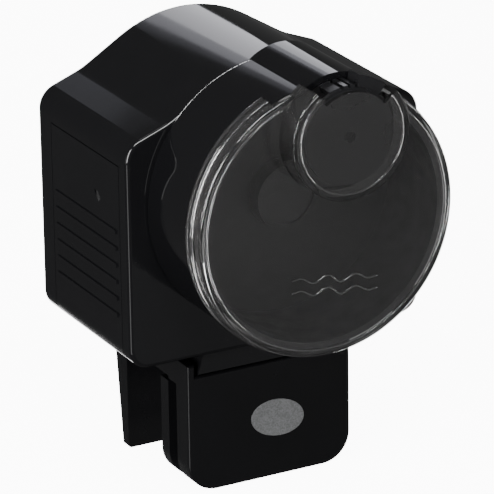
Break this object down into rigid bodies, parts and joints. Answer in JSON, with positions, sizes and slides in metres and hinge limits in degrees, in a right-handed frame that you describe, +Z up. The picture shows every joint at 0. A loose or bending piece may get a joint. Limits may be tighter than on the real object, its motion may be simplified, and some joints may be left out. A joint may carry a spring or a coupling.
{
  "type": "automatic fish feeder",
  "caption": "Clamp-on automatic fish feeder: battery housing turning a food drum with a clear lid, an adjustable portion shutter and a screw clamp for a tank rim.",
  "frame": {"origin": "middle of the rim seat, the flat pad under the clamp's bridge just behind its front jaw", "axes": "+Z up, the drum's axis along Y with the lid facing -Y, +X to the right as seen from the front"},
  "size_m": [0.093, 0.1024, 0.1325],
  "materials": {
    "housing_black": "glossy moulded black plastic",
    "door_black": "satin moulded black plastic",
    "drum_black": "glossy moulded black plastic",
    "shutter_black": "satin black plastic",
    "clear_plastic": "clear polystyrene",
    "clamp_black": "satin black plastic",
    "knob_black": "matt black plastic",
    "screw_steel": "zinc plated steel",
    "shaft_steel": "ground steel",
    "bush_brass": "sintered bronze",
    "gear_white": "white acetal",
    "tray_grey": "grey plastic",
    "cell_jacket": "printed cell jacket without lettering",
    "contact_nickel": "nickel plated spring steel",
    "motor_steel": "plated steel can",
    "magnet_nickel": "nickel plated magnet",
    "reed_glass": "glass tube",
    "board_green": "solder mask",
    "part_black": "moulded component",
    "display_grey": "liquid crystal display",
    "lens_clear": "clear acrylic",
    "button_grey": "grey plastic",
    "sticker_silver": "silver film"
  },
  "bodies": {
    "clamp": {"clamp_bracket": "clamp_black", "clamp_nut": "screw_steel", "oval_sticker": "sticker_silver"},
    "pressure_plate": {"pressure_plate": "clamp_black"},
    "clamp_screw": {"clamp_screw": "screw_steel", "clamp_knob": "knob_black"},
    "housing": {"front_shell": "housing_black", "rear_shell": "housing_black", "case_screws": "screw_steel", "battery_tray": "tray_grey", "battery_front": "cell_jacket", "battery_rear": "cell_jacket", "battery_contacts": "contact_nickel", "battery_springs": "contact_nickel", "front_bushing": "bush_brass", "rear_bushing": "bush_brass", "gear_plate": "tray_grey", "plate_screws": "screw_steel", "motor_gearbox": "bush_brass", "motor_can": "motor_steel", "motor_screws": "screw_steel", "reed_switch": "reed_glass", "circuit_board": "board_green", "board_screws": "screw_steel", "display_module": "display_grey", "display_lens": "lens_clear", "button_switches": "part_black", "board_parts": "part_black"},
    "battery_door": {"battery_door": "door_black"},
    "drum": {"drum_cup": "drum_black", "drum_gear": "gear_white", "index_magnet": "magnet_nickel", "drum_shaft": "shaft_steel", "shaft_clip": "shaft_steel"},
    "pinion": {"motor_pinion": "bush_brass", "motor_shaft": "shaft_steel"},
    "lid": {"clear_lid": "clear_plastic"},
    "shutter": {"portion_shutter": "shutter_black"},
    "clock_button": {"clock_button": "button_grey"},
    "hour_button": {"hour_button": "button_grey"},
    "minute_button": {"minute_button": "button_grey"},
    "feed_button": {"feed_button": "button_grey"}
  },
  "joints": [
    {"name": "housing_slide", "type": "slide", "parent": "clamp", "child": "housing", "axis": [0, -1, 0], "range_m": [0, 0.046]},
    {"name": "pressure_slide", "type": "slide", "parent": "clamp", "child": "pressure_plate", "axis": [0, 1, 0], "range_m": [-0.003, 0.016]},
    {"name": "screw_turn", "type": "hinge", "parent": "pressure_plate", "child": "clamp_screw", "pos_m": [0, 0.0275, -0.0147], "axis": [0, 1, 0], "range_deg": [-1080, 5760]},
    {"name": "door_slide", "type": "slide", "parent": "housing", "child": "battery_door", "axis": [0, 0, -1], "range_m": [0, 0.06]},
    {"name": "drum_turn", "type": "hinge", "parent": "housing", "child": "drum", "pos_m": [0, -0.0125, 0.0578], "axis": [0, 1, 0], "continuous": true},
    {"name": "pinion_turn", "type": "hinge", "parent": "housing", "child": "pinion", "pos_m": [0.0144, 0.0015, 0.0386], "axis": [0, 1, 0], "continuous": true},
    {"name": "lid_pull", "type": "slide", "parent": "drum", "child": "lid", "axis": [0, -1, 0], "range_m": [0, 0.025]},
    {"name": "shutter_turn", "type": "hinge", "parent": "lid", "child": "shutter", "pos_m": [0.00325, -0.0475, 0.08386], "axis": [0, 1, 0], "range_deg": [-46, 6]},
    {"name": "clock_button_press", "type": "slide", "parent": "housing", "child": "clock_button", "axis": [0, -1, 0], "range_m": [0, 0.0006], "stiffness_N_per_m": 400},
    {"name": "hour_button_press", "type": "slide", "parent": "housing", "child": "hour_button", "axis": [0, -1, 0], "range_m": [0, 0.0006], "stiffness_N_per_m": 400},
    {"name": "minute_button_press", "type": "slide", "parent": "housing", "child": "minute_button", "axis": [0, -1, 0], "range_m": [0, 0.0006], "stiffness_N_per_m": 400},
    {"name": "feed_button_press", "type": "slide", "parent": "housing", "child": "feed_button", "axis": [0, -1, 0], "range_m": [0, 0.0006], "stiffness_N_per_m": 400}
  ],
  "couplings": [
    {"joint": "pinion_turn", "follows": "drum_turn", "ratio": -4},
    {"joint": "screw_turn", "follows": "pressure_slide", "rad_per_m": 6283.2}
  ]
}
